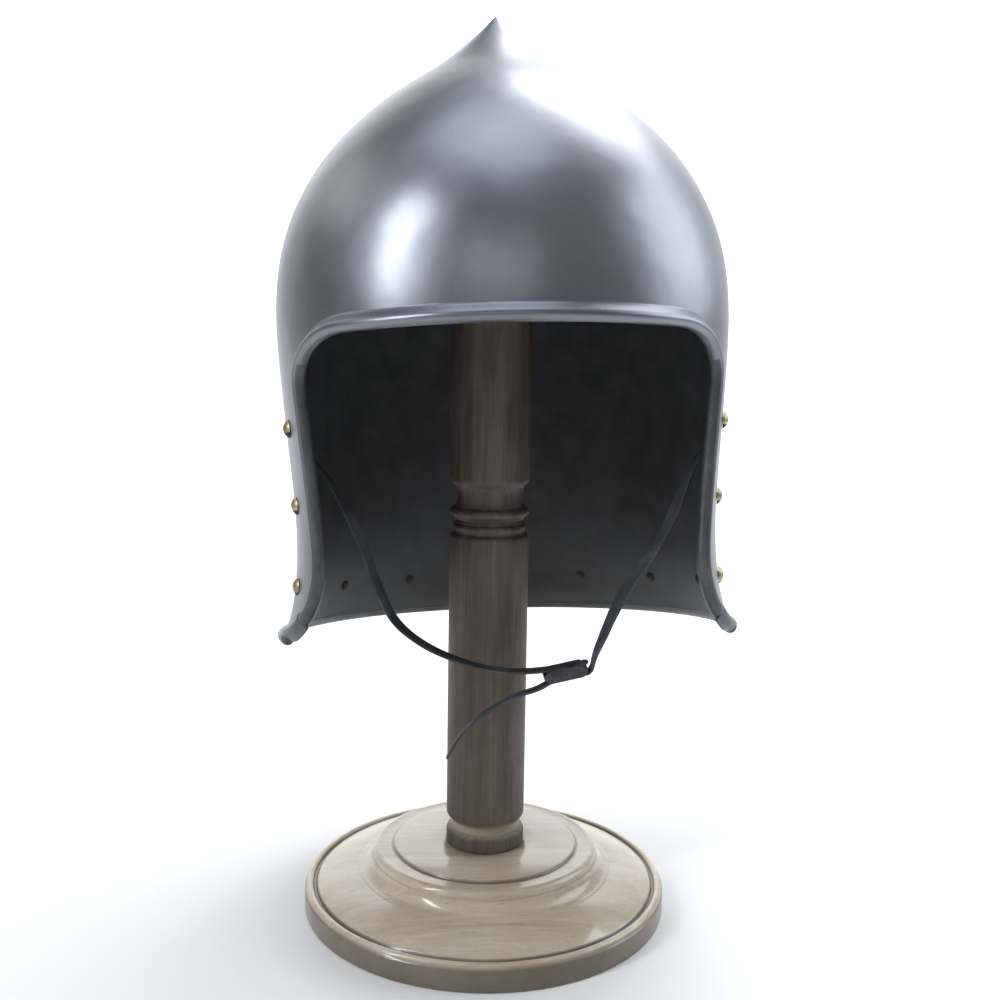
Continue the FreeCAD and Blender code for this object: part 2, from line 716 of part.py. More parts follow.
def build_stand():
    """The base, the two-part post and its dowel, and the screw from below with its plug."""
    return [
        turned_body("base_plate", [
            ("screw_hole_radius", "counterbore_depth"), ("counterbore_radius", "counterbore_depth"),
            ("counterbore_radius", 0), ("base_radius", 0),
            ("base_radius", "base_edge_top"), (("base_radius", -2.5), "base_ridge_top"),
            ("base_groove_radius", "base_ridge_top"),
            ("base_shoulder_radius", "base_shoulder_top"), ("base_cove_radius", "base_cove_level"),
            ("base_bead_radius", "base_bead_top"), ("base_disc_radius", "base_bead_top"),
            ("base_disc_radius", "base_top"), ("screw_hole_radius", "base_top"),
        ]),
        turned_body("base_screw", [
            (0, "screw_head_bottom"), ("screw_head_radius", "screw_head_bottom"),
            ("screw_head_radius", "screw_washer_bottom"), ("screw_radius", "screw_washer_bottom"),
            ("screw_radius", ("screw_tip", -6.0)), (0, "screw_tip"),
        ]),
        turned_body("screw_washer", [
            ("screw_hole_radius", "screw_washer_bottom"), ("screw_washer_radius", "screw_washer_bottom"),
            ("screw_washer_radius", "counterbore_depth"), ("screw_hole_radius", "counterbore_depth"),
        ]),
        turned_body("screw_plug", [
            (0, 0), ("plug_radius", 0), ("plug_radius", "plug_top"), (0, "plug_top"),
        ]),
        turned_body("lower_post", [
            ("screw_radius", "base_top"), ("post_radius", "base_top"), ("post_radius", "foot_top"),
            ("cove_radius", "cove_level"), ("post_radius", "lower_shaft_bottom"),
            ("post_radius", "lower_shaft_top"), ("seat_radius", "seat_shoulder"),
            ("seat_radius", "post_joint"), ("dowel_hole_radius", "post_joint"),
            ("dowel_hole_radius", "dowel_socket_bottom"), (0, "dowel_socket_bottom"),
            (0, "pilot_top"), ("screw_radius", "pilot_top"),
        ]),
        turned_body("post_dowel", [
            (0, "dowel_bottom"), ("dowel_radius", "dowel_bottom"), ("dowel_radius", "dowel_top"),
            (0, "dowel_top"),
        ]),
        turned_body("upper_post", [
            ("dowel_hole_radius", "post_joint"), ("seat_radius", "post_joint"),
            ("post_radius", "upper_bead_bottom"), ("post_radius", "upper_bead_top"),
            ("neck_radius", "neck_bottom"), ("neck_radius", "neck_top"),
            ("post_radius", "upper_shaft_bottom"), ("post_radius", "upper_shaft_top"),
            ("dome_radius", "dome_shoulder"), (0, "post_top"), (0, "dowel_socket_top"),
            ("dowel_hole_radius", "dowel_socket_top"),
        ]),
    ]


# ---------------------------------------------------------------- build, check and export

def export(parts):
    """Check every object of the document and write one STEP file for each sub-part."""
    doc.recompute()
    for item in doc.Objects:
        if "Invalid" in item.State or "Error" in item.State:
            raise RuntimeError(f"{item.Label} failed: {item.State}")
    os.makedirs("parts", exist_ok=True)
    for part in parts:
        shape = part.Shape
        if shape.isNull() or not shape.isValid():
            raise RuntimeError(f"{part.Label} has no valid shape")
        shape.exportStep(f"parts/{part.Label}.step")
        print(f"{part.Label:28s} {shape.Volume:12.1f} mm3  solids {len(shape.Solids)}")


def main():
    """Build every sub-part, check it and write it out."""
    fill_sheet()
    outer, open_shell = build_skull()
    surface = outer.Shape
    spots = rivet_spots(surface)
    pivot = Vector(0, size("strap_plane"), size("strap_pivot_level"))
    strap_spots = []
    for sign in (1, -1):
        strap_spots.append((sign, *surface_hit(surface, pivot, X_AXIS * sign)))
    skull = pierced(open_shell, spots, strap_spots)
    parts = [skull, build_face_roll(face_edge_points(surface)), build_neck_roll()]
    parts += build_rivets(spots)
    for side, (sign, place, normal) in zip(("right", "left"), strap_spots):
        print("strap pivot", side, place, "inner face", abs(place.x) - size("wall") / abs(normal.x))
        parts.append(build_strap_rivet(side, sign, place, normal))
        parts.append(build_strap_washer(side, sign, place, normal))
    reach = SECTIONS[0][2]
    hole_radius = size("strap_hole_radius")
    pivot_hole = Part.makeCylinder(hole_radius, reach * 2, pivot - X_AXIS * reach, X_AXIS)
    parts += [build_long_strap(pivot_hole), build_short_strap(pivot_hole), build_slide()]
    for part in parts:
        lean_on_post(part)
    export(parts + build_stand())


main()
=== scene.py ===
"""Looks of the open-faced knight's helmet on its turned stand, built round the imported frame.

Shapes are worked out in millimetres, in the helmet's own upright place, and turned into metres
and leaned on the post as the last step of each mesh.
"""

import json
import math

import bpy
import numpy as np
from mathutils import Matrix, Vector


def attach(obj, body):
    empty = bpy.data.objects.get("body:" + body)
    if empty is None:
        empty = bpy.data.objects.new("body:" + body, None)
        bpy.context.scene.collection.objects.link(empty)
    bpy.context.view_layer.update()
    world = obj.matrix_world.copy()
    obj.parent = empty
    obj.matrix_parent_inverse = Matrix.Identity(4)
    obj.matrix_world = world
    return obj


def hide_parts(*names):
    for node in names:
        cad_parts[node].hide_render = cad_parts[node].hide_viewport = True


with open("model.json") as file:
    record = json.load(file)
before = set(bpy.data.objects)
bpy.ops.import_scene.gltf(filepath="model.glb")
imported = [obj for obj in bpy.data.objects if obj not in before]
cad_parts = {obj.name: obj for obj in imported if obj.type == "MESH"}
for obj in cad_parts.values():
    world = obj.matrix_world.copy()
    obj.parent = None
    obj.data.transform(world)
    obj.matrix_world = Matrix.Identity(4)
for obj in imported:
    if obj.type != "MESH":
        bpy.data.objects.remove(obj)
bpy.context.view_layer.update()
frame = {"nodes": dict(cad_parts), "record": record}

MM = 0.001
TURN = 2 * math.pi

# ------------------------------------------------------------------ sizes, in millimetres

WALL = 1.6
HELMET_LEAN = math.radians(-1.9)
LEAN_CENTRE = np.array([0.0, 0.0, 440.0])

# Level on the axis, fall towards the back, half width, half depth and centre Y of each section.
SECTIONS = np.array([
    (149.5, 0.145, 113.0, 131.0, 0.0),
    (156.0, 0.142, 110.8, 127.0, -1.5),
    (166.0, 0.137, 108.2, 123.4, -2.6),
    (182.0, 0.128, 105.9, 120.8, -3.6),
    (205.0, 0.112, 105.2, 119.8, -4.0),
    (240.0, 0.080, 107.2, 121.0, -4.0),
    (275.0, 0.040, 109.6, 122.6, -4.0),
    (303.0, 0.010, 110.8, 123.0, -4.0),
    (325.0, 0.0, 109.6, 121.0, -4.0),
    (345.0, 0.0, 105.4, 116.0, -3.6),
    (365.0, 0.0, 97.0, 106.4, -3.0),
    (385.0, 0.0, 83.6, 91.0, -2.2),
    (400.0, 0.0, 69.0, 74.4, -1.4),
    (412.0, 0.0, 54.0, 57.4, -0.8),
    (420.0, 0.0, 41.8, 43.8, -0.4),
    (428.0, 0.0, 29.4, 30.4, -0.1),
    (436.0, 0.0, 18.8, 19.2, 0.0),
    (444.0, 0.0, 9.4, 9.5, 0.0),
    (452.0, 0.0, 0.9, 0.9, 0.0),
])

OPENING_SHIFT = -1.2
OPENING_TOP = 303.0
OPENING_CORNER = 24.0
OPENING_HALF_TOP = 93.5
OPENING_WAIST = (87.0, 200.0)
OPENING_FLARE = (93.6, 172.0)
OPENING_FOOT = (108.0, 155.0)
BROW_ARCH = 2.5
NECK_LIP_START = 105.0

# The rolled edges: a round bar at the plate's edge, reach up the plate, height and bar radius.
FACE_LIP = (5.2, 3.9, 3.3)
NECK_LIP = (5.0, 3.7, 3.1)
LIP_DRAW_LENGTH = 14.0
# Their inner side, painted dark as the roll's shade, starts at this point of the section, above and
# below this level.
LIP_SIDE_TOP = 288.0
LIP_SHADE_ABOVE = 21
LIP_SHADE_BELOW = 15
LIP_SHADE_END = 11.0

SKULL_ROWS = 150
SKULL_COLUMNS = 300

STRAP_PLANE = -40.0
STRAP_WIDTH = 8.0
STRAP_THICKNESS = 1.5
SLIDE_CENTRE = (26.1, 134.2)
SLIDE_TILT = math.radians(11.0)
SLIDE_LENGTH = 22.0
SLIDE_WIDTH = 12.0
BAR_WRAP = 2.5

BASE_RADIUS = 95.0
# The base's grooves, painted dark as their shade: radius and half width of each, in metres.
BASE_SHADE_RINGS = ((0.0893, 0.0014), (0.0489, 0.0011))


# ------------------------------------------------------------------ curves and surfaces

def spline(knots, values, at):
    """Natural cubic spline through values at the knots, read at other places.

    Each span is the cubic whose second derivatives, solved from continuity of slope, vary
    linearly from knot to knot and vanish at the two ends.
    """
    knots = np.asarray(knots, float)
    values = np.asarray(values, float)
    steps = np.diff(knots)
    slopes = np.diff(values, axis=0) / steps.reshape((-1,) + (1,) * (values.ndim - 1))
    count = len(knots)
    matrix = np.eye(count)
    inner = np.arange(1, count - 1)
    matrix[inner, inner - 1] = steps[:-1]
    matrix[inner, inner] = 2 * (steps[:-1] + steps[1:])
    matrix[inner, inner + 1] = steps[1:]
    right = np.zeros_like(values)
    right[1:-1] = 6 * np.diff(slopes, axis=0)
    bends = np.linalg.solve(matrix, right)
    at = np.asarray(at, float)
    span = np.clip(np.searchsorted(knots, at, side="right") - 1, 0, count - 2)
    shape = at.shape + (1,) * (values.ndim - 1)
    step = steps[span].reshape(shape)
    after = (at - knots[span]).reshape(shape)
    before = step - after
    ends = (bends[span] * before ** 3 + bends[span + 1] * after ** 3) / (6 * step)
    lines = (values[span] / step - bends[span] * step / 6) * before
    return ends + lines + (values[span + 1] / step - bends[span + 1] * step / 6) * after


PROFILE_STEPS = np.hypot(*np.diff(SECTIONS[:, [0, 2]], axis=0).T)
PROFILE_LENGTH = np.concatenate([[0.0], np.cumsum(PROFILE_STEPS)])
SKULL_HEIGHT = PROFILE_LENGTH[-1]


def skull_point(travel, angle):
    """A point of the skull's outer face.

    travel runs up the side outline from the rim; the section there is an ellipse of half width
    a and half depth b, and the point at an angle round from the front is
    (a sin, centre - b cos), lowered by the section's fall times its Y.
    """
    section = spline(PROFILE_LENGTH, SECTIONS, travel)
    level, fall, half_width, half_depth, centre = np.moveaxis(section, -1, 0)
    across = half_width * np.sin(angle)
    depth = centre - half_depth * np.cos(angle)
    return np.stack([across, depth, level - fall * depth], axis=-1)


def skull_normal(travel, angle):
    """The outward normal: the cross product of the two small steps along the surface."""
    small = 0.05
    low = np.clip(travel - small, 0, SKULL_HEIGHT)
    high = np.clip(travel + small, 0, SKULL_HEIGHT)
    upwards = skull_point(high, angle) - skull_point(low, angle)
    turning = skull_point(travel, angle + 0.001) - skull_point(travel, angle - 0.001)
    return unit(np.cross(turning, upwards))


def unit(vectors):
    """Vectors of length one."""
    return vectors / np.maximum(np.linalg.norm(vectors, axis=-1, keepdims=True), 1e-12)


def front_place(across, level):
    """The travel and angle of the point of the front face that is seen at (X, Z).

    The travel is found by halving its range: the level of the point rises steadily with it.
    """
    low = np.zeros_like(across)
    high = np.full_like(across, SKULL_HEIGHT * 0.75)
    for _ in range(40):
        middle = (low + high) / 2
        half_width = spline(PROFILE_LENGTH, SECTIONS[:, 2], middle)
        angle = np.arcsin(np.clip(across / half_width, -1, 1))
        below = skull_point(middle, angle)[..., 2] < level
        low = np.where(below, middle, low)
        high = np.where(below, high, middle)
    return middle, angle


def circle_through(first, second, third):
    """The centre and radius of the circle through three points: where two bisectors meet."""
    rows = 2 * np.array([np.subtract(second, first), np.subtract(third, second)])
    squares = [np.dot(point, point) for point in (first, second, third)]
    centre = np.linalg.solve(rows, np.diff(squares))
    return centre, math.hypot(*(centre - first))


FLARE_CENTRE, FLARE_RADIUS = circle_through(OPENING_WAIST, OPENING_FLARE, OPENING_FOOT)


def opening_half_width(level):
    """Half the face opening's width: straight above the waist, a flaring arc below it."""
    straight = np.interp(
        level, [OPENING_WAIST[1], OPENING_TOP - OPENING_CORNER], [OPENING_WAIST[0], OPENING_HALF_TOP])
    drop = np.clip(FLARE_CENTRE[1] - level, 0, FLARE_CENTRE[1] - OPENING_FOOT[1])
    flare = FLARE_CENTRE[0] - np.sqrt(FLARE_RADIUS ** 2 - drop ** 2)
    return np.where(level < OPENING_WAIST[1], flare, straight)


def opening_parts(across, level):
    """Distances that the opening's pieces share: from its middle line and from its corners."""
    corner_x = OPENING_HALF_TOP - OPENING_CORNER
    corner_z = OPENING_TOP - OPENING_CORNER
    wide = np.abs(across - OPENING_SHIFT)
    brow = OPENING_TOP + BROW_ARCH * np.clip(1 - (wide / corner_x) ** 2, 0, 1)
    away = np.maximum(np.hypot(wide - corner_x, level - corner_z), 1e-9)
    in_corner = (wide > corner_x) & (level > corner_z)
    return corner_x, corner_z, wide, brow, away, in_corner


def opening_depth(across, level):
    """How far inside the face opening's outline a point (X, Z) lies; below zero outside."""
    _, corner_z, wide, brow, away, in_corner = opening_parts(across, level)
    side = opening_half_width(level) - wide
    below = np.where(level > corner_z, brow - level, np.minimum(side, brow - level))
    return np.where(in_corner, OPENING_CORNER - away, below)


def onto_opening_edge(across, level):
    """Move points (X, Z) straight onto the face opening's outline."""
    corner_x, corner_z, wide, brow, away, in_corner = opening_parts(across, level)
    in_brow = (level > corner_z) & ~in_corner
    stretch = OPENING_CORNER / away
    new_wide = np.where(in_corner, corner_x + (wide - corner_x) * stretch, opening_half_width(level))
    new_wide = np.where(in_brow, wide, new_wide)
    new_level = np.where(in_corner, corner_z + (level - corner_z) * stretch, level)
    new_level = np.where(in_brow, brow, new_level)
    return OPENING_SHIFT + np.sign(across - OPENING_SHIFT) * new_wide, new_level


def leaned(points):
    """Tip points about the post's top, in the plane of the view from the front."""
    cosine, sine = math.cos(HELMET_LEAN), math.sin(HELMET_LEAN)
    turn = np.array([[cosine, 0.0, sine], [0.0, 1.0, 0.0], [-sine, 0.0, cosine]])
    return (points - LEAN_CENTRE) @ turn.T + LEAN_CENTRE


# ------------------------------------------------------------------ meshes

def make_piece(name, points, faces, body, leans=True):
    """A Blender object from points in millimetres and a list or array of faces."""
    placed = leaned(points) if leans else points
    mesh = bpy.data.meshes.new(name)
    mesh.from_pydata((placed * MM).tolist(), [], [list(face) for face in faces])
    mesh.polygons.foreach_set("use_smooth", np.ones(len(mesh.polygons), bool))
    mesh.update()
    piece = bpy.data.objects.new(name, mesh)
    bpy.context.scene.collection.objects.link(piece)
    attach(piece, body)
    return piece


def grid_faces(rows, columns, wrap_rows=False, wrap_columns=False):
    """The quads of a grid of points, numbered row by row."""
    row = np.arange(rows if wrap_rows else rows - 1)
    column = np.arange(columns if wrap_columns else columns - 1)
    row, column = np.meshgrid(row, column, indexing="ij")
    next_row = (row + 1) % rows
    next_column = (column + 1) % columns
    corners = [row * columns + column, row * columns + next_column]
    corners += [next_row * columns + next_column, next_row * columns + column]
    return np.stack(corners, axis=-1).reshape(-1, 4)


def capped_tube(grid):
    """Points and faces of a tube whose rows are closed rings, with a cap point at each end."""
    rows, columns = grid.shape[:2]
    points = np.concatenate([grid.reshape(-1, 3), grid[:1].mean(axis=1), grid[-1:].mean(axis=1)])
    faces = grid_faces(rows, columns, wrap_columns=True).tolist()
    first = rows * columns
    around = np.arange(columns)
    following = (around + 1) % columns
    start = np.stack([np.full(columns, first), following, around], axis=-1)
    base = (rows - 1) * columns
    end = np.stack([np.full(columns, first + 1), base + around, base + following], axis=-1)
    return points, faces + start.tolist() + end.tolist()


def turned(outline, steps=192):
    """A closed outline of (radius, height) points turned about the Z axis.

    Point (r, z) goes to (r cos, r sin, z) at each step of the turn. An outline that starts
    and ends on the axis closes there in one point each.
    """
    outline = np.asarray(outline, float)
    angle = np.linspace(0, TURN, steps, endpoint=False)
    grid = np.stack([
        outline[:, None, 0] * np.cos(angle), outline[:, None, 0] * np.sin(angle),
        np.repeat(outline[:, 1:], steps, axis=1),
    ], axis=-1)
    if outline[0, 0] > 0:
        return grid.reshape(-1, 3), grid_faces(len(outline), steps, True, True).tolist()
    inner = grid[1:-1]
    points, faces = capped_tube(inner)
    points[-2] = (0, 0, outline[0, 1])
    points[-1] = (0, 0, outline[-1, 1])
    return points, faces


def arc(centre, radius, start, end, count):
    """Points (r, z) of a circle arc between two angles in degrees."""
    angle = np.radians(np.linspace(start, end, count))
    return [(centre[0] + radius * math.cos(a), centre[1] + radius * math.sin(a)) for a in angle]


def ease(first, last, count):
    """Points of an S-shaped cove between two (r, z) points: the radius eases as a cosine of height."""
    share = np.linspace(0, 1, count)
    radius = first[0] + (last[0] - first[0]) * (1 - np.cos(np.pi * share)) / 2
    height = first[1] + (last[1] - first[1]) * share
    return list(zip(radius.tolist(), height.tolist()))


def beside_path(path, normals, closed=False):
    """Unit directions that lie in the surface and point across a path on it."""
    if closed:
        along = np.roll(path, -1, axis=0) - np.roll(path, 1, axis=0)
    else:
        along = np.gradient(path, axis=0)
    return unit(np.cross(unit(along), normals))


# ------------------------------------------------------------------ shader arithmetic

class Signal:
    """A shader socket that takes part in ordinary arithmetic."""

    def __init__(self, bench, socket):
        self.bench = bench
        self.socket = socket

    def __add__(self, other):
        return self.bench.maths("ADD", self, other)

    def __sub__(self, other):
        return self.bench.maths("SUBTRACT", self, other)

    def __rsub__(self, other):
        return self.bench.maths("SUBTRACT", other, self)

    def __mul__(self, other):
        return self.bench.maths("MULTIPLY", self, other)

    __radd__ = __add__
    __rmul__ = __mul__

    def between(self, low, high):
        """0 below low, 1 above high, a straight ramp between."""
        return self.bench.add(
            "ShaderNodeMapRange", {"clamp": True},
            {"Value": self, "From Min": low, "From Max": high, "To Min": 0.0, "To Max": 1.0})


class Bench:
    """The node tree of one material, with its surface shader ready."""

    def __init__(self, name):
        self.material = bpy.data.materials.new(name)
        self.material.use_nodes = True
        self.tree = self.material.node_tree
        self.surface = self.tree.nodes["Principled BSDF"]

    def add(self, kind, settings, values, output=0):
        """A node of any type: its settings first, then the values or links of its sockets."""
        node = self.tree.nodes.new(kind)
        for name, setting in settings.items():
            setattr(node, name, setting)
        for name, value in values.items():
            self.feed(node.inputs[name], value)
        return Signal(self, node.outputs[output])

    def feed(self, socket, value):
        """Link a signal to a socket, or set the socket's own value."""
        if isinstance(value, Signal):
            self.tree.links.new(value.socket, socket)
        elif isinstance(value, tuple) and len(value) == 3 and socket.type == "RGBA":
            socket.default_value = (*value, 1.0)
        else:
            socket.default_value = value

    def maths(self, operation, first, second):
        return self.add("ShaderNodeMath", {"operation": operation}, {0: first, 1: second})

    def mix(self, share, first, second):
        """A colour between two colours."""
        return self.add("ShaderNodeMix", {"data_type": "RGBA"}, {0: share, 6: first, 7: second}, 2)

    def place(self, stretch=(1.0, 1.0, 1.0), centre=(0.0, 0.0, 0.0)):
        """Object coordinates, moved to a centre and stretched along each axis."""
        coordinates = self.add("ShaderNodeTexCoord", {}, {}, 3)
        shift = tuple(-c * s for c, s in zip(centre, stretch))
        placing = {"Vector": coordinates, "Location": shift, "Scale": stretch}
        return self.add("ShaderNodeMapping", {}, placing)

    def noise(self, place, scale, detail=4.0, roughness=0.5, distortion=0.0):
        return self.add("ShaderNodeTexNoise", {}, {
            "Vector": place, "Scale": scale, "Detail": detail, "Roughness": roughness,
            "Distortion": distortion})

    def bump(self, *layers):
        """Bumps laid one over another: each layer is (height, strength, distance in metres)."""
        normal = None
        for height, strength, distance in layers:
            values = {"Height": height, "Strength": strength, "Distance": distance}
            if normal is not None:
                values["Normal"] = normal
            normal = self.add("ShaderNodeBump", {}, values)
        return normal

    def finish(self, **sockets):
        """Set the surface shader's sockets, written with underscores for spaces."""
        for name, value in sockets.items():
            self.feed(self.surface.inputs[name.replace("_", " ")], value)
        return self.material


# ------------------------------------------------------------------ materials

def satin_steel():
    """Blue-grey armour plate: satin polish, soft planishing waves, fine hand-rubbed scratches.

    Below the brow it is painted darker: painted shade for the dark reflection of the room on the lower
    bowl.
    """
    bench = Bench("satin_steel")
    place = bench.place()
    waves = bench.noise(place, 22.0, 2.0, 0.45)
    small_waves = bench.noise(place, 75.0, 2.0, 0.5)
    rubbed = bench.noise(bench.place((1.0, 1.0, 0.08)), 900.0, 3.0, 0.6)
    crossed = bench.noise(bench.place((0.1, 0.1, 1.0)), 700.0, 3.0, 0.6)
    cloud = bench.noise(place, 9.0, 5.0, 0.6, 0.4)
    speck = bench.noise(place, 420.0, 4.0, 0.7).between(0.66, 0.74)
    tint = bench.mix(cloud.between(0.35, 0.7), (0.205, 0.218, 0.248), (0.275, 0.288, 0.32))
    level = bench.add("ShaderNodeSeparateXYZ", {}, {"Vector": place}, 2)
    # Painted shade: the colour darkens below the brow in place of the dark reflection there.
    tint_with_low_shade = bench.mix(level.between(0.19, 0.33), (0.098, 0.106, 0.116), tint)
    colour = bench.mix(speck * 0.5, tint_with_low_shade, (0.10, 0.095, 0.09))
    rough = 0.25 + 0.14 * cloud + 0.08 * rubbed + 0.12 * speck
    normal = bench.bump(
        (waves, 0.30, 0.004), (small_waves, 0.10, 0.0012), (rubbed, 0.05, 0.00012),
        (crossed, 0.04, 0.0001))
    return bench.finish(Base_Color=colour, Metallic=0.96, Roughness=rough, Normal=normal)


def dark_inside():
    """The skull's inside: blackened, never polished, and darker towards the rim."""
    bench = Bench("dark_inside")
    place = bench.place()
    scale_marks = bench.noise(place, 60.0, 5.0, 0.6)
    grain = bench.noise(place, 500.0, 3.0, 0.6)
    plain = bench.mix(scale_marks.between(0.3, 0.75), (0.060, 0.060, 0.064), (0.115, 0.116, 0.122))
    level = bench.add("ShaderNodeSeparateXYZ", {}, {"Vector": place}, 2)
    colour = bench.mix(level.between(0.14, 0.30) * 0.75 + 0.25, (0.012, 0.012, 0.013), plain)
    rough = 0.45 + 0.2 * scale_marks
    normal = bench.bump((scale_marks, 0.25, 0.0015), (grain, 0.15, 0.0003))
    return bench.finish(Base_Color=colour, Metallic=0.3, Roughness=rough, Normal=normal)


def painted_shade_edge():
    """The rolled edges' inner sides: dark grey, painted shade for the shadow on the rolls' inner
    flanks.
    """
    bench = Bench("painted_shade_edge")
    marks = bench.noise(bench.place(), 90.0, 4.0, 0.6)
    colour = bench.mix(marks.between(0.3, 0.7), (0.060, 0.066, 0.070), (0.105, 0.112, 0.120))
    normal = bench.bump((marks, 0.2, 0.001))
    return bench.finish(Base_Color=colour, Metallic=0.6, Roughness=0.42, Normal=normal)


def aged_brass():
    """Domed brass heads, dull in the hollows; the peened tails inside the skull are blackened.

    A face is a tail's where its normal points back towards the post.
    """
    bench = Bench("aged_brass")
    place = bench.place()
    dull = bench.noise(place, 260.0, 4.0, 0.6)
    facing = bench.add("ShaderNodeNewGeometry", {}, {}, 1)
    outward = bench.add(
        "ShaderNodeVectorMath", {"operation": "DOT_PRODUCT"}, {0: facing, 1: place}, 1)
    head = outward.between(-0.02, 0.01)
    brass = bench.mix(dull.between(0.35, 0.68), (0.46, 0.40, 0.25), (0.19, 0.155, 0.095))
    colour = bench.mix(head, (0.055, 0.052, 0.048), brass)
    rough = 0.50 - 0.24 * head + 0.3 * dull
    normal = bench.bump((dull, 0.25, 0.0003))
    return bench.finish(Base_Color=colour, Metallic=1.0, Roughness=rough, Normal=normal)


def plain_steel():
    """Bright screws and washers."""
    bench = Bench("plain_steel")
    haze = bench.noise(bench.place(), 180.0, 3.0, 0.5)
    colour = bench.mix(haze, (0.50, 0.50, 0.51), (0.36, 0.36, 0.37))
    normal = bench.bump((haze, 0.1, 0.0002))
    return bench.finish(Base_Color=colour, Metallic=1.0, Roughness=0.3 + 0.2 * haze, Normal=normal)


def strap_leather():
    """Charcoal leather with a fine grain and paler, rubbed patches."""
    bench = Bench("strap_leather")
    place = bench.place()
    grain = bench.add("ShaderNodeTexVoronoi", {}, {"Vector": place, "Scale": 1500.0, "Randomness": 1.0})
    creases = bench.noise(place, 240.0, 5.0, 0.65)
    rubbed = bench.noise(place, 55.0, 3.0, 0.5).between(0.48, 0.75)
    colour = bench.mix(rubbed * 0.7 + creases * 0.2, (0.028, 0.030, 0.033), (0.115, 0.125, 0.135))
    normal = bench.bump((creases, 0.35, 0.0004), (grain, 0.3, 0.00016))
    return bench.finish(Base_Color=colour, Roughness=0.5 + 0.25 * creases, Normal=normal)


def slide_black():
    """The slide's moulded black, slightly worn."""
    bench = Bench("slide_black")
    wear = bench.noise(bench.place(), 320.0, 4.0, 0.6)
    colour = bench.mix(wear.between(0.45, 0.8), (0.022, 0.022, 0.026), (0.085, 0.085, 0.095))
    normal = bench.bump((wear, 0.2, 0.0002))
    return bench.finish(Base_Color=colour, Roughness=0.38 + 0.3 * wear, Normal=normal)


def pale_lacquered_wood():
    """The base: pale plank wood, grain along X, under a clear gloss, darker round the foot, with
    painted shade in its grooves.
    """
    bench = Bench("pale_lacquered_wood")
    warp = bench.noise(bench.place(), 14.0, 3.0, 0.5)
    fibres = bench.noise(bench.place((0.06, 1.0, 1.0)), 620.0, 5.0, 0.65, 0.3)
    bands = bench.noise(bench.place((0.10, 1.0, 1.0)), 70.0, 4.0, 0.55, 0.8)
    patches = bench.noise(bench.place(), 26.0, 4.0, 0.6)
    pores = bench.noise(bench.place((0.12, 1.0, 1.0)), 900.0, 2.0, 0.5).between(0.63, 0.72)
    light = bench.mix(bands.between(0.32, 0.68), (0.60, 0.52, 0.41), (0.46, 0.38, 0.27))
    warm = bench.mix(patches.between(0.50, 0.78) * 0.55, light, (0.42, 0.30, 0.17))
    grainy = bench.mix(fibres.between(0.42, 0.72) * 0.35, warm, (0.30, 0.235, 0.16))
    pored = bench.mix(pores * 0.35, grainy, (0.16, 0.11, 0.07))
    split = bench.add("ShaderNodeSeparateXYZ", {}, {"Vector": bench.place()}, 2)
    # Darker round the foot, below about 13 mm.
    foot = 1.0 - split.between(0.0105, 0.0132)
    stained = bench.mix(foot * (0.7 + 0.3 * patches), pored, (0.075, 0.052, 0.030))
    flat = bench.place((1.0, 1.0, 0.0))
    reach = bench.add("ShaderNodeVectorMath", {"operation": "LENGTH"}, {0: flat}, 1)
    colour = stained
    # Painted shade: the groove and the step line round the disc are darkened as their shadow.
    for ring, width in BASE_SHADE_RINGS:
        away = bench.maths("ABSOLUTE", reach - ring, 0.0)
        groove_shade = (1.0 - away.between(width * 0.4, width)) * 0.8
        colour = bench.mix(groove_shade, colour, (0.060, 0.042, 0.028))
    normal = bench.bump((warp, 0.08, 0.002), (fibres, 0.10, 0.0002))
    return bench.finish(
        Base_Color=colour, Roughness=0.36 + 0.12 * fibres, Normal=normal,
        Coat_Weight=0.75, Coat_Roughness=0.12)


def dark_post_wood():
    """The post: dark stained wood, worn in long upright streaks, with a painted highlight that pales
    the foot's cove.
    """
    bench = Bench("dark_post_wood")
    streaks = bench.noise(bench.place((1.0, 1.0, 0.05)), 150.0, 5.0, 0.65, 0.4)
    fine = bench.noise(bench.place((1.0, 1.0, 0.03)), 760.0, 4.0, 0.65)
    patches = bench.noise(bench.place((1.0, 1.0, 0.35)), 34.0, 4.0, 0.6)
    dark = bench.mix(streaks.between(0.36, 0.66), (0.052, 0.038, 0.027), (0.120, 0.094, 0.069))
    faded = bench.mix(patches.between(0.45, 0.72) * 0.7, dark, (0.170, 0.139, 0.106))
    grained = bench.mix(fine.between(0.52, 0.74) * 0.6, faded, (0.030, 0.022, 0.017))
    level = bench.add("ShaderNodeSeparateXYZ", {}, {"Vector": bench.place()}, 2)
    # Painted highlight: the cove above the foot ring is made paler, as the light it catches.
    cove = level.between(0.0395, 0.0415) * (1.0 - level.between(0.0450, 0.0480))
    colour = bench.mix(cove * 0.7, grained, (0.36, 0.30, 0.22))
    normal = bench.bump((streaks, 0.2, 0.0006), (fine, 0.3, 0.0003))
    return bench.finish(
        Base_Color=colour, Roughness=0.5 + 0.2 * streaks, Normal=normal,
        Coat_Weight=0.06, Coat_Roughness=0.4)


def raw_dowel_wood():
    """Unfinished beech inside the post's joint."""
    bench = Bench("raw_dowel_wood")
    fibres = bench.noise(bench.place((1.0, 1.0, 0.05)), 600.0, 4.0, 0.6)
    colour = bench.mix(fibres, (0.58, 0.45, 0.30), (0.44, 0.33, 0.21))
    normal = bench.bump((fibres, 0.2, 0.0002))
    return bench.finish(Base_Color=colour, Roughness=0.7, Normal=normal)


def studio_white():
    """The floor and backdrop: plain, pale and matt."""
    bench = Bench("studio_white")
    return bench.finish(Base_Color=(0.86, 0.86, 0.86), Roughness=0.85)


# ------------------------------------------------------------------ the helmet

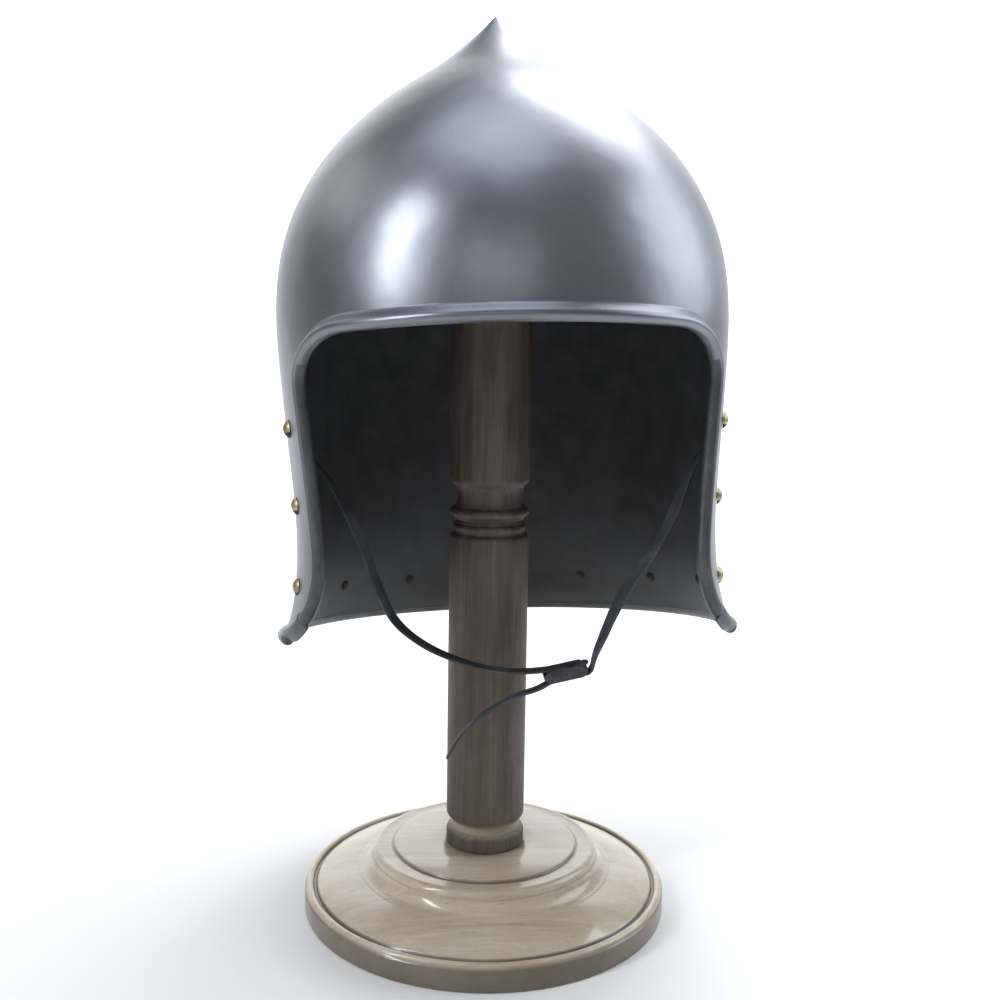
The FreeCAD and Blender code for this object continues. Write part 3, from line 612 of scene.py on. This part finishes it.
def skull():
    """The raised shell, with the face opening cut to its outline and the wall turned inwards.

    A grid of travel up the side outline by angle round. Quads inside the opening are left
    out, and the corners beside them move onto its outline. The wall is a Solidify.
    """
    travel = np.linspace(0, SKULL_HEIGHT, SKULL_ROWS)
    angle = np.linspace(0, TURN, SKULL_COLUMNS, endpoint=False)
    travel_grid, angle_grid = np.meshgrid(travel, angle, indexing="ij")
    points = skull_point(travel_grid, angle_grid).reshape(-1, 3)
    faces = grid_faces(SKULL_ROWS, SKULL_COLUMNS, wrap_columns=True)
    in_front = points[:, 1] < 0
    depth = np.where(in_front, opening_depth(points[:, 0], points[:, 2]), -1.0)
    middle = depth[faces].mean(axis=1)
    kept = faces[middle <= 0]
    dropped = faces[middle > 0]
    beside = np.intersect1d(kept, dropped)
    across, level = onto_opening_edge(points[beside, 0], points[beside, 2])
    travel_edge, angle_edge = front_place(across, level)
    points[beside] = skull_point(travel_edge, angle_edge)
    top = len(points)
    last = top - SKULL_COLUMNS + np.arange(SKULL_COLUMNS)
    tip = points[last].mean(axis=0, keepdims=True) + [[0, 0, 0.5]]
    points = np.concatenate([points, tip])
    cap = np.stack([np.full(SKULL_COLUMNS, top), last, np.roll(last, -1)], axis=-1)
    used, packed = np.unique(np.concatenate([kept.ravel(), cap.ravel()]), return_inverse=True)
    quads = packed[:kept.size].reshape(-1, 4).tolist()
    cap_faces = packed[kept.size:].reshape(-1, 3).tolist()
    piece = make_piece("skull_shell", points[used], quads + cap_faces, "helmet")
    wall = piece.modifiers.new("wall", "SOLIDIFY")
    wall.thickness = WALL * MM
    wall.offset = -1.0
    wall.use_even_offset = True
    wall.material_offset = 1
    piece.data.materials.append(STEEL)
    piece.data.materials.append(INSIDE)
    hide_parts("skull")
    return piece


def lip_section(reach, crest, radius):
    """The rolled edge's section as (along the plate towards the edge, outwards) points.

    It leaves the plate in a cosine ease up to the crest, goes round the roll as a circle,
    and comes back along the plate's inner face.
    """
    share = np.linspace(0, 1, 12)
    rise_along = -reach + (reach + 0.6) * share
    rise_out = crest * (1 - np.cos(np.pi * share)) / 2 - 0.25 * (1 - share)
    turn = np.radians(np.linspace(90, -105, 22))[1:]
    roll_along = 0.6 + radius * np.cos(turn)
    roll_out = crest - radius + radius * np.sin(turn)
    back_along = np.array([-1.8, -reach * 0.55, -reach])
    back_out = np.array([-WALL + 0.3, -WALL + 0.5, -WALL + 0.6])
    along = np.concatenate([rise_along, roll_along, back_along])
    out = np.concatenate([rise_out, roll_out, back_out])
    return np.stack([along, out], axis=-1)


def swept_lip(name, path, normals, towards, size_numbers):
    """A rolled edge: its section carried along the edge and drawn in to a round tip at each end.

    A point of the section goes to path + along * towards + out * normal. Over the last bar
    radius the section shrinks about the bar's middle as a quarter circle does. Before that its
    side on the plate draws in to the bar's circle, so that only the bar reaches the tip.
    """
    radius = size_numbers[2]
    section = lip_section(*size_numbers)
    across = beside_path(path, normals)
    across *= np.sign((across * towards).sum(axis=-1, keepdims=True))
    run = np.concatenate([[0.0], np.cumsum(np.linalg.norm(np.diff(path, axis=0), axis=1))])
    from_end = np.minimum(run, run[-1] - run)
    share = np.clip(from_end / radius, 0, 1)
    size = np.sqrt(np.clip(1 - (1 - share) ** 2, 0.0004, 1))
    centre = np.array([0.6, section[:, 1].max() - radius])
    drawn = np.clip((from_end - radius) / LIP_DRAW_LENGTH, 0, 1)[:, None, None]
    bar = centre + radius * unit(section - centre)
    shape = bar + (section - bar) * drawn
    local = centre + (shape - centre) * size[:, None, None]
    grid = path[:, None] + local[..., :1] * across[:, None] + local[..., 1:] * normals[:, None]
    points, faces = capped_tube(grid)
    piece = make_piece(name, points, faces, "helmet")
    piece.data.materials.append(STEEL)
    piece.data.materials.append(PAINTED_SHADE_EDGE)
    # Painted shade: the roll's inner side, and the whole section near each tip, get the dark material.
    shade_from = np.where(path[:-1, 2] > LIP_SIDE_TOP, LIP_SHADE_ABOVE, LIP_SHADE_BELOW)
    shade_from[from_end[:-1] < LIP_SHADE_END] = 0
    shade_quads = np.arange(grid.shape[1]) >= shade_from[:, None]
    dark = np.ones(len(faces), int)
    dark[:shade_quads.size] = shade_quads.ravel()
    piece.data.polygons.foreach_set("material_index", dark)
    return piece


def evenly(points, count):
    """The same run of points at even spacing along its length."""
    run = np.concatenate([[0.0], np.cumsum(np.linalg.norm(np.diff(points, axis=0), axis=1))])
    even = np.linspace(0, run[-1], count)
    columns = [np.interp(even, run, points[:, axis]) for axis in range(points.shape[1])]
    return np.stack(columns, axis=-1)


def opening_edge(count=460):
    """The face opening's outline (X, Z), left foot to right foot.

    Its points are evenly spaced and then averaged with their neighbours under a Hann window,
    which rounds the corners' ends.
    """
    corner_x = OPENING_HALF_TOP - OPENING_CORNER
    corner_z = OPENING_TOP - OPENING_CORNER
    level = np.linspace(OPENING_FOOT[1] + 1.0, corner_z, 120)
    side = np.stack([-opening_half_width(level), level], axis=-1)
    turn = np.radians(np.linspace(180, 90, 24))[1:]
    rounding = np.stack([np.cos(turn), np.sin(turn)], axis=-1)
    corner = [-corner_x, corner_z] + OPENING_CORNER * rounding
    across = np.linspace(-corner_x, 0, 40)[1:]
    brow = np.stack([across, OPENING_TOP + BROW_ARCH * (1 - (across / corner_x) ** 2)], axis=-1)
    left = np.concatenate([side, corner, brow])
    right = left[:-1][::-1] * [-1, 1]
    edge = evenly(np.concatenate([left, right]), count) + [OPENING_SHIFT, 0]
    kernel = np.hanning(23)
    padded = np.pad(edge, ((11, 11), (0, 0)), mode="reflect", reflect_type="odd")
    kernel /= kernel.sum()
    smoothed = [np.convolve(padded[:, axis], kernel, mode="valid") for axis in (0, 1)]
    return np.stack(smoothed, axis=-1)


def face_edge():
    """The rolled edge round the face opening."""
    edge = opening_edge()
    travel, angle = front_place(edge[:, 0], edge[:, 1])
    path = skull_point(travel, angle)
    normals = skull_normal(travel, angle)
    centre = np.array([0.0, -100.0, 230.0])
    piece = swept_lip("face_edge_lip", path, normals, centre - path, FACE_LIP)
    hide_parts("face_edge_roll")
    return piece


def neck_edge():
    """The rolled edge round the rim, ending in a round tip past each front corner.

    The angles crowd towards both ends, as share - 0.85 sin(2 pi share) / (2 pi), for the tips.
    """
    start = math.asin((NECK_LIP_START + OPENING_SHIFT) / SECTIONS[0][2])
    end = TURN - math.asin((NECK_LIP_START - OPENING_SHIFT) / SECTIONS[0][2])
    share = np.linspace(0, 1, 420)
    angle = start + (end - start) * (share - 0.85 * np.sin(TURN * share) / TURN)
    travel = np.full_like(angle, 0.3)
    path = skull_point(travel, angle)
    normals = skull_normal(travel, angle)
    down = np.tile([0.0, 0.0, -1.0], (len(angle), 1))
    piece = swept_lip("neck_edge_lip", path, normals, down, NECK_LIP)
    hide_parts("neck_edge_roll")
    return piece


# ------------------------------------------------------------------ the chin strap

LONG_STRAP_BEFORE_SLIDE = [
    (-97.8, 263.0), (-97.8, 245.5), (-88.0, 236.0), (-79.0, 219.5), (-70.5, 199.5),
    (-63.0, 176.0), (-56.5, 161.5), (-44.0, 150.5), (-30.0, 143.0), (-12.5, 136.8),
    (4.0, 134.6),
]
LONG_STRAP_AFTER_SLIDE = [
    (13.0, 126.0), (3.0, 123.6), (-9.5, 117.5), (-21.0, 109.5), (-28.5, 101.0), (-33.0, 92.0),
]
SHORT_STRAP_ABOVE_SLIDE = [
    (97.8, 263.0), (97.8, 245.5), (88.2, 235.5), (80.6, 213.0), (71.8, 196.5), (61.5, 182.0),
    (51.0, 165.5), (44.6, 150.5), (40.6, 142.0),
]


def on_slide(along, away):
    """A place (X, Z) given along the slide and away from its face."""
    cosine, sine = math.cos(SLIDE_TILT), math.sin(SLIDE_TILT)
    return (
        SLIDE_CENTRE[0] + along * cosine - away * sine,
        SLIDE_CENTRE[1] + along * sine + away * cosine)


def quadratic_run(control, per_span=14):
    """A smooth run guided by control points: the quadratic B-spline with its ends held.

    Each span lies between the middles of two neighbouring sides and is the parabola that
    touches both sides there.
    """
    control = np.asarray(control, float)
    middles = (control[:-1] + control[1:]) / 2
    middles[0] = control[0]
    middles[-1] = control[-1]
    share = np.linspace(0, 1, per_span, endpoint=False)[None, :, None]
    start, corner, end = middles[:-1, None], control[1:-1, None], middles[1:, None]
    curve = (1 - share) ** 2 * start + 2 * share * (1 - share) * corner + share ** 2 * end
    return np.concatenate([curve.reshape(-1, control.shape[1]), control[-1:]])


def strap(name, control, twist_knots, width_knots, replaced):
    """A flat strap along a run in the strap's plane, turned a little about its own length.

    Its section is a rounded bar: a superellipse of the strap's width and thickness. The ends
    narrow to a round point over the last few millimetres.
    """
    flat = evenly(quadratic_run(control), 260)
    path = np.stack([flat[:, 0], np.full(len(flat), STRAP_PLANE), flat[:, 1]], axis=-1)
    run = np.linspace(0, 1, len(path))
    twist = np.radians(np.interp(run, *zip(*twist_knots)))
    kernel = np.hanning(31)
    twist = np.convolve(np.pad(twist, 15, mode="edge"), kernel / kernel.sum(), mode="valid")
    tangent = unit(np.gradient(path, axis=0))
    width_way = np.tile([0.0, 1.0, 0.0], (len(path), 1))
    face_way = unit(np.cross(tangent, width_way))
    turned_width = np.cos(twist)[:, None] * width_way + np.sin(twist)[:, None] * face_way
    turned_face = np.cos(twist)[:, None] * face_way - np.sin(twist)[:, None] * width_way
    length = np.linalg.norm(np.diff(path, axis=0), axis=1).sum()
    from_end = np.minimum(run, 1 - run) * length
    narrowing = np.sqrt(np.clip(1 - (1 - np.clip(from_end / 4.0, 0, 1)) ** 2, 0.01, 1))
    wobble = 1 + 0.03 * np.sin(run * 41.0) + 0.02 * np.sin(run * 97.0 + 1.0)
    wobble *= np.interp(run, *zip(*width_knots))
    around = np.linspace(0, TURN, 28, endpoint=False)
    cosine, sine = np.cos(around), np.sin(around)
    section_width = np.sign(cosine) * np.abs(cosine) ** 0.35 * STRAP_WIDTH / 2
    section_face = np.sign(sine) * np.abs(sine) ** 0.6 * STRAP_THICKNESS / 2
    wide = section_width[None, :, None] * (narrowing * wobble)[:, None, None]
    thick = section_face[None, :, None] * np.minimum(narrowing + 0.4, 1)[:, None, None]
    grid = path[:, None] + (wide * turned_width[:, None] + thick * turned_face[:, None])
    points, faces = capped_tube(grid)
    piece = make_piece(name, points, faces, "chin_strap")
    piece.data.materials.append(LEATHER)
    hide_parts(replaced)
    return piece


def long_strap():
    """The left strap: under the chin, round the slide's middle bar and out as the loose tail."""
    wrap = [on_slide(-3.35, BAR_WRAP), on_slide(3.6, BAR_WRAP), on_slide(3.6, -BAR_WRAP)]
    control = LONG_STRAP_BEFORE_SLIDE + wrap + [on_slide(-6.7, -BAR_WRAP)] + LONG_STRAP_AFTER_SLIDE
    twist = [
        (0.0, 0.0), (0.07, 0.0), (0.16, 20.0), (0.34, 24.0), (0.46, 8.0), (0.56, 0.0), (1.0, 0.0)]
    width = [(0.0, 1.0), (0.74, 1.0), (0.86, 0.7), (1.0, 0.45)]
    return strap("long_strap_leather", control, twist, width, "long_strap")


def short_strap():
    """The right strap: under the slide's end bar, up through its slot and back over the bar."""
    wrap = [
        on_slide(12.6, -2.9), on_slide(6.6, -BAR_WRAP), on_slide(6.6, BAR_WRAP), on_slide(12.2, 2.6)]
    control = SHORT_STRAP_ABOVE_SLIDE + wrap
    twist = [
        (0.0, 0.0), (0.12, 0.0), (0.30, -22.0), (0.72, -24.0), (0.84, -8.0), (0.88, 0.0),
        (1.0, 0.0)]
    width = [(0.0, 1.0), (1.0, 1.0)]
    return strap("short_strap_leather", control, twist, width, "short_strap")


def slide():
    """The three-bar slide: a rounded loop with a middle bar, tilted along the strap.

    The loop is an oval bar carried round a rounded rectangle, and the middle bar is the same
    section carried straight across.
    """
    half_long = SLIDE_LENGTH / 2 - 1.4
    half_wide = SLIDE_WIDTH / 2 - 0.85
    corner = 1.2
    loop = []
    for centre_u, centre_v, start in ((1, 1, 0), (-1, 1, 90), (-1, -1, 180), (1, -1, 270)):
        turn = np.radians(np.linspace(start, start + 90, 9))
        loop.append(np.stack([
            centre_u * (half_long - corner) + corner * np.cos(turn),
            centre_v * (half_wide - corner) + corner * np.sin(turn)], axis=-1))
    loop = np.concatenate(loop)
    loop = evenly(np.concatenate([loop, loop[:1]]), 181)[:-1]
    flat = np.concatenate([loop, np.zeros((len(loop), 1))], axis=-1)
    upward = np.tile([0.0, 0.0, 1.0], (len(flat), 1))
    outward = beside_path(flat, upward, closed=True)
    across_end = np.abs(outward[:, :1])
    thick = 0.85 + 0.55 * across_end
    around = np.linspace(0, TURN, 20, endpoint=False)
    bar_out = np.sign(np.cos(around)) * np.abs(np.cos(around)) ** 0.7
    bar_up = np.sign(np.sin(around)) * np.abs(np.sin(around)) ** 0.7
    high = 3.2 - 1.9 * across_end
    loop_grid = (
        flat[:, None] + bar_out[None, :, None] * thick[:, None] * outward[:, None]
        + bar_up[None, :, None] * high[:, None] * upward[:, None])
    loop_points = loop_grid.reshape(-1, 3)
    loop_faces = grid_faces(len(flat), len(around), True, True)
    run = np.linspace(-half_wide, half_wide, 24)
    bar_grid = np.stack(np.broadcast_arrays(
        1.7 * bar_out[None, :], run[:, None], 1.25 * bar_up[None, :]), axis=-1)
    bar_points, bar_faces = capped_tube(bar_grid)
    points = np.concatenate([loop_points, bar_points])
    faces = loop_faces.tolist()
    faces += [[index + len(loop_points) for index in face] for face in bar_faces]
    cosine, sine = math.cos(SLIDE_TILT), math.sin(SLIDE_TILT)
    placed = np.stack([
        SLIDE_CENTRE[0] + points[:, 0] * cosine - points[:, 2] * sine,
        STRAP_PLANE + points[:, 1],
        SLIDE_CENTRE[1] + points[:, 0] * sine + points[:, 2] * cosine], axis=-1)
    piece = make_piece("slide_frame", placed, faces, "chin_strap")
    piece.data.materials.append(SLIDE_BLACK)
    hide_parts("strap_slide")
    return piece


# ------------------------------------------------------------------ the stand

def base():
    """The turned base, from its screw recess round the foot and up over ridge, cove and bead."""
    outline = [(2.6, 9.0), (10.0, 9.0), (10.0, 0.3), (10.3, 0.0), (50.0, 0.0)]
    outline += arc((BASE_RADIUS - 1.2, 1.2), 1.2, -90, 0, 5)
    outline += arc((BASE_RADIUS - 1.0, 10.2), 1.0, 0, 70, 4)
    outline += arc((92.2, 11.6), 2.0, 20, 150, 12)
    outline += arc((89.6, 12.4), 0.9, 200, 330, 6)[::-1]
    outline += arc((60.0, -40.9), 61.0, 62.2, 84.0, 26)
    outline += arc((66.6, 27.2), 7.4, -92, -176, 14)
    outline += arc((56.0, 27.3), 3.3, -8, 112, 14)
    outline += [(52.0, 30.55), (49.2, 30.35), (48.5, 30.5)]
    outline += arc((47.3, 31.1), 0.9, 0, 90, 5)
    outline += [(30.0, 32.0), (2.6, 32.0)]
    points, faces = turned(outline)
    piece = make_piece("base_turning", points, faces, "stand", leans=False)
    piece.data.materials.append(PALE_WOOD)
    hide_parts("base_plate")
    return piece


def lower_post():
    """The lower post: foot ring, cove, long shaft and bead, with its two bores."""
    outline = [(0.0, 73.0), (2.4, 73.0), (2.4, 32.0), (19.6, 32.0)]
    outline += arc((19.3, 33.2), 1.2, -60, 0, 4)
    outline += arc((17.5, 38.2), 3.0, 0, 75, 8)
    outline += ease((17.6, 41.6), (17.2, 44.4), 6)
    outline += arc((16.2, 49.2), 4.3, -60, 0, 8)
    outline += [(20.5, 60.0), (20.55, 120.0), (20.5, 188.0)]
    outline += arc((18.1, 195.6), 2.4, 0, 75, 8)
    outline += [(18.3, 198.6)]
    outline += arc((17.2, 201.2), 1.9, -40, 80, 9)
    outline += [(17.2, 203.8), (17.4, 205.0), (6.05, 205.0), (6.05, 183.0), (0.0, 183.0)]
    points, faces = turned(outline, 128)
    piece = make_piece("lower_post_turning", points, faces, "stand", leans=False)
    piece.data.materials.append(POST_WOOD)
    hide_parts("lower_post")
    return piece


def upper_post():
    """The upper post: thin bead, hollow neck, rounded shoulder, shaft and domed top."""
    outline = [(0.0, 227.0), (6.05, 227.0), (6.05, 205.0), (17.4, 205.0)]
    outline += arc((18.4, 209.2), 2.1, -80, 80, 10)
    outline += ease((17.6, 212.0), (17.0, 215.0), 6)
    outline += [(17.0, 219.0)]
    outline += arc((15.9, 227.0), 4.6, -62, 0, 9)
    outline += [(20.5, 300.0), (20.5, 424.0)]
    outline += arc((12.5, 430.4), 7.9, 2, 50, 9)
    outline += [(12.5, 437.9), (6.0, 439.6), (0.0, 440.6)]
    points, faces = turned(outline, 128)
    piece = make_piece("upper_post_turning", points, faces, "stand", leans=False)
    piece.data.materials.append(POST_WOOD)
    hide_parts("upper_post")
    return piece


# ------------------------------------------------------------------ frame parts, studio, camera

def dress_frame_parts():
    """Give every part that is shown as the frame has it the material of its slot."""
    finishes = {
        "rivet_brass": BRASS, "fastener_steel": PLAIN_STEEL, "dowel_wood": DOWEL_WOOD,
        "helmet_steel": STEEL, "strap_leather": LEATHER, "slide_black": SLIDE_BLACK,
        "base_wood": PALE_WOOD, "post_wood": POST_WOOD,
    }
    for entry in frame["record"]["subparts"]:
        part = frame["nodes"][entry["node"]]
        part.data.materials.clear()
        part.data.materials.append(finishes[entry["material_slot"]])


def studio():
    """A pale floor that curves up through a quarter circle into a backdrop."""
    half, depth, radius = 3.2, 1.6, 0.9
    turn = np.linspace(0, math.pi / 2, 24)
    back = depth + radius * np.sin(turn)
    up = radius * (1 - np.cos(turn))
    outline = np.concatenate([[[-3.0, 0.0]], np.stack([back, up], axis=-1), [[depth + radius, 3.4]]])
    grid = np.stack([
        np.repeat([[-half, half]], len(outline), axis=0),
        np.repeat(outline[:, :1], 2, axis=1), np.repeat(outline[:, 1:], 2, axis=1)], axis=-1)
    mesh = bpy.data.meshes.new("studio_floor")
    mesh.from_pydata(grid.reshape(-1, 3).tolist(), [], grid_faces(len(outline), 2)[:, ::-1].tolist())
    mesh.polygons.foreach_set("use_smooth", np.ones(len(mesh.polygons), bool))
    mesh.materials.append(studio_white())
    floor = bpy.data.objects.new("studio_floor", mesh)
    bpy.context.scene.collection.objects.link(floor)


def soft_light(name, place, target, width, height, power, colour=(1.0, 1.0, 1.0)):
    """A rectangular soft light that faces its target."""
    data = bpy.data.lights.new(name, "AREA")
    data.shape = "RECTANGLE"
    data.size = width
    data.size_y = height
    data.energy = power
    data.color = colour
    lamp = bpy.data.objects.new(name, data)
    lamp.location = place
    lamp.rotation_euler = (Vector(target) - Vector(place)).to_track_quat("-Z", "Y").to_euler()
    bpy.context.scene.collection.objects.link(lamp)


def lights():
    """Soft studio lights.

    Two windows behind the right shoulder, one beside it, a tall strip at the left, a weak glow
    behind the left, a broad light overhead, a fill in front and two for the backdrop.
    """
    head = (0.0, 0.0, 0.34)
    soft_light("back_window", (0.60, 0.60, 1.45), head, 0.7, 0.6, 8.0, (0.97, 0.98, 1.0))
    soft_light("apex_window", (0.28, 0.80, 1.75), head, 0.45, 0.35, 4.2, (0.97, 0.98, 1.0))
    soft_light("right_window", (1.32, 0.20, 0.92), head, 1.0, 1.1, 11.0, (0.90, 0.96, 1.0))
    soft_light("overhead", (-0.10, -0.10, 1.65), head, 1.0, 0.8, 5.0, (0.86, 0.93, 1.0))
    soft_light("left_strip", (-1.02, -0.60, 0.90), head, 0.14, 1.0, 9.5, (0.95, 0.98, 1.0))
    soft_light("left_glow", (-1.15, 0.45, 1.20), head, 0.7, 0.5, 1.2, (1.0, 0.97, 0.93))
    soft_light("front_fill", (-0.25, -2.3, 1.2), head, 1.4, 1.0, 4.0)
    soft_light("backdrop_left", (-0.7, 1.2, 1.9), (-1.2, 2.5, 0.9), 1.0, 1.0, 42.0)
    soft_light("backdrop_right", (0.7, 1.2, 1.9), (1.2, 2.5, 0.9), 1.0, 1.0, 42.0)
    world = bpy.data.worlds.new("studio")
    world.use_nodes = True
    backdrop = world.node_tree.nodes["Background"]
    backdrop.inputs["Color"].default_value = (0.90, 0.93, 0.97, 1.0)
    backdrop.inputs["Strength"].default_value = 0.28
    bpy.context.scene.world = world


def camera():
    """The camera, level with the face opening, looking slightly down and a little rolled."""
    distance, height = 0.572, 0.288
    azimuth = math.radians(-3.0)
    heading = math.radians(3.53)
    pitch = math.radians(7.3)
    roll = math.radians(0.93)
    data = bpy.data.cameras.new("camera")
    data.sensor_width = 36.0
    data.lens = 40.32
    data.clip_start = 0.01
    lens = bpy.data.objects.new("camera", data)
    turn = Matrix.Rotation(-heading, 4, "Z")
    turn @= Matrix.Rotation(math.pi / 2 - pitch, 4, "X")
    turn @= Matrix.Rotation(roll, 4, "Z")
    across, forward = distance * math.sin(azimuth), -distance * math.cos(azimuth)
    lens.matrix_world = Matrix.Translation((across, forward, height)) @ turn
    bpy.context.scene.collection.objects.link(lens)
    bpy.context.scene.camera = lens


camera()

STEEL = satin_steel()
INSIDE = dark_inside()
PAINTED_SHADE_EDGE = painted_shade_edge()
BRASS = aged_brass()
PLAIN_STEEL = plain_steel()
LEATHER = strap_leather()
SLIDE_BLACK = slide_black()
PALE_WOOD = pale_lacquered_wood()
POST_WOOD = dark_post_wood()
DOWEL_WOOD = raw_dowel_wood()

skull()
face_edge()
neck_edge()
long_strap()
short_strap()
slide()
base()
lower_post()
upper_post()
dress_frame_parts()
studio()
lights()
bpy.context.scene.view_settings.view_transform = "Standard"
